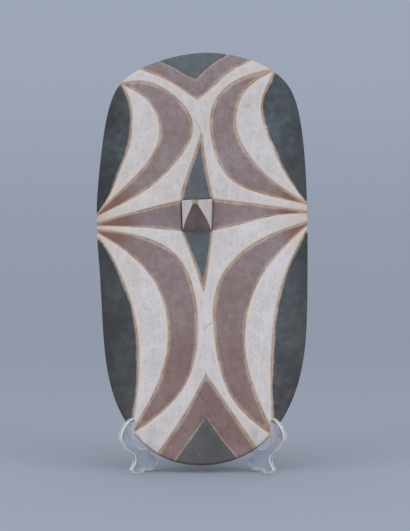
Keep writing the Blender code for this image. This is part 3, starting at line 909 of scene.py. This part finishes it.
def buildWing(name, node, side):
    # The plate's outline is filled and given its thickness, then cut along the seam.
    outline = []
    for stretch in wingShape["profile"]:
        if len(stretch) > 2:
            stretch = smoothCurve(stretch, wingShape["pointGap"]).tolist()
        outline += stretch[:-1]
    count = len(outline)
    half = wingShape["thickness"] / 2
    slack = half / math.tan(math.radians(wingShape["angle"])) + 1
    points = [(-half * mm, -(s if s else -slack) * mm, z * mm) for s, z in outline]
    mesh = bpy.data.meshes.new(name)
    mesh.from_pydata(points, [(i, (i + 1) % count) for i in range(count)], [])
    for finish in wingFinishes:
        mesh.materials.append(finish)
    wing = addPiece(mesh)
    selectOnly(wing)
    bpy.ops.object.mode_set(mode="EDIT")
    bpy.ops.mesh.select_all(action="SELECT")
    bpy.ops.mesh.edge_face_add()
    bpy.ops.mesh.extrude_region_move(TRANSFORM_OT_translate={"value": (2 * half * mm, 0, 0)})
    bpy.ops.mesh.select_all(action="SELECT")
    bpy.ops.mesh.normals_make_consistent(inside=False)
    bpy.ops.object.mode_set(mode="OBJECT")
    # The edge faces take a whiter finish, a painted highlight.
    for face in mesh.polygons:
        if abs(face.normal.x) < 0.5:
            face.material_index = 2
    wing.rotation_euler.z = side * math.radians(wingShape["angle"])
    bpy.ops.object.transform_apply(location=False, rotation=True, scale=False)
    bpy.ops.object.mode_set(mode="EDIT")
    bpy.ops.mesh.select_all(action="SELECT")
    seam = (side * wingShape["seamGap"] / 2 * mm, 0, 0)
    bpy.ops.mesh.bisect(plane_co=seam, plane_no=(-side, 0, 0), use_fill=True, clear_outer=True)
    bpy.ops.object.mode_set(mode="OBJECT")
    rounding = wing.modifiers.new("edges", "BEVEL")
    rounding.width = wingShape["edgeRound"] * mm
    rounding.segments = 3
    rounding.limit_method = "ANGLE"
    rounding.angle_limit = math.radians(50)
    # The rounded arrises take the white finish, a painted highlight.
    rounding.material = 1
    bpy.ops.object.modifier_apply(modifier=rounding.name)
    bpy.ops.object.shade_smooth_by_angle(angle=math.radians(30))
    standAs(wing, node, (0, 0, 0))
    return wing


wingFinishes = [clearAcrylic(name) for name in acrylicLooks]
wings = [
    buildWing("easelWingLeft", "stand_wing_left", -1),
    buildWing("easelWingRight", "stand_wing_right", 1),
]
for wing in wings:
    print(wing.name, len(wing.data.polygons), "faces, box", boxOf(wing))


woodTexture = {
    "patchSize": 80,  # broad changes of colour
    "blotchSize": 14,
    "fleckSize": 6,
    "gritSize": 2.6,  # real grit is finer: this is as fine as shows from a step away
    "grainWidth": 3.2,
    "grainLength": 45,
    "crackleSize": 11,
    "cutPale": "#ccbaaf",
    "cutGolden": "#c6a891",
    "cutBrown": "#8e6d5c",
    "cream": "#e1d5cb",
    "starPale": "#cab39f",
    "starWood": "#bb9576",
    "starWhite": "#d6c1b1",
    "starRedAndShade": "#866355",
    "warmth": "#fdebe4",
    "dirtAndShadeColour": "#2b2224",
    "blotchShare": 0.5,  # of the clouds
    "grainShare": 0.45,  # of the relief
    "bumpStrength": 0.4,
    "bumpHeight": 0.35,
    # From and to which value each share rises, and what it is there if not 0 and 1.
    "clouds": {"From Min": 0.42, "From Max": 0.6},
    "streaks": {"From Min": 0.36, "From Max": 0.66},
    "flecks": {"From Min": 0.58, "From Max": 0.7, "To Max": 0.4},
    "lowness": {"From Min": 0.34, "From Max": 0.1},  # metres up the board
    "crackle": {"From Min": 0.02, "From Max": 0.07, "To Min": 0.2, "To Max": 0},
    "creaming": {"From Min": 4.6, "From Max": 1.3},  # the paint starts at 1 outside a cut
    "rubbingAndShade": {"From Min": 0, "From Max": 0.25, "To Max": 0.95},  # a star's middle is at 1
    "ragged": {"From Min": 0.3, "From Max": 0.7, "To Min": -0.18, "To Max": 0.18},
    "inCut": {"From Min": 1.5, "From Max": 0.12, "To Max": 0.95},
    "darkening": {"From Min": 0.45, "From Max": 0.1},
    "filled": {"From Min": 0.45, "From Max": 0.65, "To Max": 0.7},
    "worn": {"From Min": 0.05, "From Max": 0.4},
    "bareTip": {"From Min": 0.62, "From Max": 0.92},
    "mottle": {"From Min": 0.3, "From Max": 0.7, "To Min": 0.9, "To Max": 1.1},
}


def paintedWood():
    # Earth paint brushed on carved pale hardwood. The white is kaolin, dull and crackled, the red
    # is brown earth, the black is soot with a slight polish, and the cuts show the wood itself.
    material, tree, shader = newMaterial("paintedWood")
    look = woodTexture
    place = addNode(tree, "TexCoord").outputs["Object"]
    turn = (math.radians(shape["lean"]), 0, 0)
    board = addNode(tree, "Mapping", {"Vector": place, "Rotation": turn})
    stretch = (1, 1, look["grainWidth"] / look["grainLength"])
    along = addNode(tree, "Mapping", {"Vector": board, "Scale": stretch})
    finish, cut, star, tone, grimeAndShade = [
        addNode(tree, "Attribute", attribute_name=name).outputs["Fac"]
        for name in ("finish", *pointValues)
    ]
    noises = []
    for where, size, detail, roughness in (
        (board, "patchSize", 2, 0.5),
        (board, "blotchSize", 3, 0.5),
        (board, "fleckSize", 2, 0.5),
        (board, "gritSize", 3, 0.7),
        (along, "grainWidth", 4, 0.5),
    ):
        inputs = {"Vector": where, "Scale": perMetre(look[size]), "Detail": detail}
        noises.append(addNode(tree, "TexNoise", {**inputs, "Roughness": roughness}))
    patches, blotches, flecks, grit, grain = noises
    inputs = {"Vector": board, "Scale": perMetre(look["crackleSize"])}
    cracks = addNode(tree, "TexVoronoi", inputs, feature="DISTANCE_TO_EDGE")

    # The face's own finish, read from steps in a ramp: its colour, patch, fleck and roughness.
    step = addNode(tree, "Math", {0: finish, 1: 0.5}, operation="ADD")
    step = addNode(tree, "Math", {0: step, 1: len(finishes)}, operation="DIVIDE")
    layers = []
    for layer in range(4):
        ramp = addNode(tree, "ValToRGB", {"Fac": step})
        ramp.color_ramp.interpolation = "CONSTANT"
        stops = ramp.color_ramp.elements
        stops.remove(stops[1])
        for name, values in finishes.items():
            value = values[layer]
            start = finishNumber[name] / len(finishes)
            stop = stops.new(start) if start else stops[0]
            stop.color = linear(value) if isinstance(value, str) else (value, value, value, 1)
        layers.append(ramp)
    colour, patch, fleck, rough = layers

    # Paint turns to its patch colour in clouds, and bare wood in streaks of grain.
    clouds = addNode(tree, "Mix", {0: look["blotchShare"], 2: patches, 3: blotches})
    clouds = addNode(tree, "MapRange", {"Value": clouds, **look["clouds"]})
    streaks = addNode(tree, "MapRange", {"Value": grain, **look["streaks"]})
    isBare = addNode(tree, "Math", {0: finish, 1: bareWood - 0.5}, operation="GREATER_THAN")
    isWhite = addNode(tree, "Math", {0: finish, 1: 0.5}, operation="LESS_THAN")
    patchShare = addNode(tree, "Mix", {0: isBare, 2: clouds, 3: streaks})
    paint = addNode(tree, "Mix", {0: patchShare, 6: colour, 7: patch}, data_type="RGBA")
    fleckShare = addNode(tree, "MapRange", {"Value": flecks, **look["flecks"]})
    paint = addNode(tree, "Mix", {0: fleckShare, 6: paint, 7: fleck}, data_type="RGBA")
    height = addNode(tree, "SeparateXYZ", {"Vector": board}).outputs["Z"]
    lowness = addNode(tree, "MapRange", {"Value": height, **look["lowness"]})
    crackle = addNode(tree, "MapRange", {"Value": cracks, **look["crackle"]})
    crackle = addNode(tree, "Math", {0: crackle, 1: isWhite}, operation="MULTIPLY")
    crackle = addNode(tree, "Math", {0: crackle, 1: lowness}, operation="MULTIPLY")
    paint = addNode(tree, "Mix", {0: crackle, 6: paint, 7: fleck}, data_type="RGBA")
    # The lower half has been handled more, and its colours are warmer.
    isColoured = addNode(tree, "Math", {0: 1, 1: isWhite}, operation="SUBTRACT")
    warmShare = addNode(tree, "Math", {0: lowness, 1: isColoured}, operation="MULTIPLY")
    inputs = {0: warmShare, 6: paint, 7: linear(look["warmth"])}
    paint = addNode(tree, "Mix", inputs, data_type="RGBA", blend_type="MULTIPLY")
    # Beside a cut and where cuts meet, hands have turned the white to cream. Where cuts meet the
    # red is painted darker, partly from that rubbing and partly as painted shade of the narrow
    # channels.
    creaming = addNode(tree, "MapRange", {"Value": cut, **look["creaming"]})
    rubbingAndShade = addNode(tree, "MapRange", {"Value": star, **look["rubbingAndShade"]})
    inputs = {0: finish, 1: finishNumber["redEarth"], 2: 0.5}
    isRed = addNode(tree, "Math", inputs, operation="COMPARE")
    for share, there, cover in (
        (creaming, isWhite, "cream"), (star, isWhite, "starWhite"), (rubbingAndShade, isRed, "starRedAndShade"),
    ):
        share = addNode(tree, "Math", {0: share, 1: there}, operation="MULTIPLY")
        inputs = {0: share, 6: paint, 7: linear(look[cover])}
        paint = addNode(tree, "Mix", inputs, data_type="RGBA")

    # In a cut the paint thins out unevenly. The wood there is pale, with brown dirt in the bottom.
    ragged = addNode(tree, "MapRange", {"Value": flecks, **look["ragged"]})
    lip = addNode(tree, "Math", {0: cut, 1: ragged}, operation="ADD")
    inCut = addNode(tree, "MapRange", {"Value": lip, **look["inCut"]})
    darkening = addNode(tree, "MapRange", {"Value": cut, **look["darkening"]})
    filled = addNode(tree, "MapRange", {"Value": blotches, **look["filled"]})
    darkening = addNode(tree, "Math", {0: darkening, 1: filled}, operation="MULTIPLY")
    worn = addNode(tree, "MapRange", {"Value": star, **look["worn"]})
    bareTip = addNode(tree, "MapRange", {"Value": star, **look["bareTip"]})
    cutWood = linear(look["cutPale"])
    for share, cover in (
        (clouds, "cutGolden"), (darkening, "cutBrown"), (worn, "starPale"), (bareTip, "starWood"),
    ):
        inputs = {0: share, 6: cutWood, 7: linear(look[cover])}
        cutWood = addNode(tree, "Mix", inputs, data_type="RGBA")
    colour = addNode(tree, "Mix", {0: inCut, 6: paint, 7: cutWood}, data_type="RGBA")

    # The grit and grain lighten and darken all of it, and so do the marks, most of them painted
    # sheen and shade.
    relief = addNode(tree, "Mix", {0: look["grainShare"], 2: grit, 3: grain})
    mottle = addNode(tree, "MapRange", {"Value": relief, **look["mottle"]})
    shade = addNode(tree, "Math", {0: mottle, 1: tone}, operation="MULTIPLY")
    inputs = {0: 1, 6: colour, 7: shade}
    colour = addNode(tree, "Mix", inputs, data_type="RGBA", blend_type="MULTIPLY")
    # Old dirt darkens it, and so does painted shadow in the cut round the boss.
    inputs = {0: grimeAndShade, 6: colour, 7: linear(look["dirtAndShadeColour"])}
    colour = addNode(tree, "Mix", inputs, data_type="RGBA")
    tree.links.new(colour.outputs[2], shader.inputs["Base Color"])
    tree.links.new(rough.outputs["Color"], shader.inputs["Roughness"])
    inputs = {"Strength": look["bumpStrength"], "Distance": look["bumpHeight"] * mm}
    bump = addNode(tree, "Bump", {"Height": relief, **inputs})
    tree.links.new(bump.outputs["Normal"], shader.inputs["Normal"])
    return material


# The studio is in metres.
studio = {
    "floorRadius": 3.8,
    "bowlRadius": 3.0,  # the paper sweeps up in a wide bowl, to be lit as the floor is
    "bowlTurn": 35,
    "bowlTop": 3.2,
    "roundSteps": 72,
    "paper": "#aeb5c3",
    "paperShine": {"Roughness": 0.9, "Specular IOR Level": 0.2},
    "fibreSize": 6,  # in millimetres
    "fibre": (0.98, 1.02),  # how dark and light its fibre makes the paper
    "fade": (0.79, 0.98),  # painted light and shade: the paper is painted lighter towards this height
    "fadeHeight": 1.3,
    "aim": (0, 0, 0.33),
    "air": "#e8ebf0",
    "airStrength": 1.08,
    "cameraPlace": (0.005, -2.591, 0.3215),
    "lens": 110.2,
    "sensor": 36,
}


def studioPaper():
    # Matt background paper, with a faint fibre.
    material, tree, shader = newMaterial("studioPaper")
    place = addNode(tree, "TexCoord").outputs["Object"]
    scale = perMetre(studio["fibreSize"])
    fibre = addNode(tree, "TexNoise", {"Vector": place, "Scale": scale, "Detail": 2})
    low, high = studio["fibre"]
    shade = addNode(tree, "MapRange", {"Value": fibre, "To Min": low, "To Max": high})
    # Painted light and shade: the paper is darker near the floor and lighter up the slope.
    height = addNode(tree, "SeparateXYZ", {"Vector": place}).outputs["Z"]
    low, high = studio["fade"]
    inputs = {"Value": height, "From Max": studio["fadeHeight"], "To Min": low, "To Max": high}
    fade = addNode(tree, "MapRange", inputs)
    shade = addNode(tree, "Math", {0: shade, 1: fade}, operation="MULTIPLY")
    inputs = {0: shade, 6: (0, 0, 0, 1), 7: linear(studio["paper"])}
    tint = addNode(tree, "Mix", inputs, data_type="RGBA")
    tree.links.new(tint.outputs[2], shader.inputs["Base Color"])
    for socket, value in studio["paperShine"].items():
        shader.inputs[socket].default_value = value
    return material


shield.data.materials.clear()
shield.data.materials.append(paintedWood())

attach(shield, "root")
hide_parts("shield")
for wing, node in zip(wings, ("stand_wing_left", "stand_wing_right")):
    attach(wing, "root")
    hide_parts(node)
print("finishes on")


def buildBackdrop():
    # One round sheet of paper: floor, sweep and slope, turned about the display.
    radius, sweep = studio["floorRadius"], studio["bowlRadius"]
    line = [(r, 0.0) for r in np.linspace(0, radius, 9)]
    for turn in range(5, studio["bowlTurn"] + 1, 5):
        angle = math.radians(turn)
        line.append((radius + sweep * math.sin(angle), sweep * (1 - math.cos(angle))))
    rise = studio["bowlTop"] - line[-1][1]
    run = rise / math.tan(math.radians(studio["bowlTurn"]))
    line.append((line[-1][0] + run, studio["bowlTop"]))
    mesh = bpy.data.meshes.new("backdropPaper")
    mesh.from_pydata([(r, 0, z) for r, z in line], [(i, i + 1) for i in range(len(line) - 1)], [])
    paper = addPiece(mesh)
    selectOnly(paper)
    bpy.ops.object.mode_set(mode="EDIT")
    bpy.ops.mesh.select_all(action="SELECT")
    steps = studio["roundSteps"]
    bpy.ops.mesh.spin(steps=steps, angle=2 * math.pi, center=(0, 0, 0), axis=(0, 0, 1))
    bpy.ops.mesh.select_all(action="SELECT")
    bpy.ops.mesh.remove_doubles(threshold=0.0001)
    bpy.ops.mesh.normals_make_consistent(inside=True)
    bpy.ops.object.mode_set(mode="OBJECT")
    bpy.ops.object.shade_smooth()
    paper.data.materials.append(studioPaper())


buildBackdrop()

lights = {
    # name: (place, size, watts, colour)
    "softboxLeft": ((-1.5, -1.6, 0.9), (0.35, 0.8), 7, "#ffffff"),
    "softboxRight": ((1.5, -1.6, 0.9), (0.35, 0.8), 7, "#ffffff"),
    "ceilingPanel": ((0, -0.2, 2.6), (2.2, 2.2), 2.5, "#ffffff"),
}
aim = Vector(studio["aim"])
for name, (place, size, watts, code) in lights.items():
    bpy.ops.object.select_all(action="DESELECT")
    bpy.ops.object.light_add(type="AREA", location=place)
    lamp = bpy.context.object
    lamp.name = name
    lamp.data.shape = "RECTANGLE"
    lamp.data.size, lamp.data.size_y = size
    lamp.data.energy = watts
    lamp.data.color = linear(code)[:3]
    lamp.rotation_euler = (aim - Vector(place)).to_track_quat("-Z", "Y").to_euler()
    lamp.visible_camera = False

world = bpy.data.worlds.new("studioAir")
world.use_nodes = True
bpy.context.scene.world = world
air = world.node_tree.nodes["Background"].inputs
air["Color"].default_value = linear(studio["air"])
air["Strength"].default_value = studio["airStrength"]

bpy.ops.object.camera_add(location=studio["cameraPlace"], rotation=(math.radians(90), 0, 0))
camera = bpy.context.object
camera.data.lens = studio["lens"]
camera.data.sensor_width = studio["sensor"]
bpy.context.scene.camera = camera
bpy.context.scene.view_settings.view_transform = "Standard"
print("studio ready")
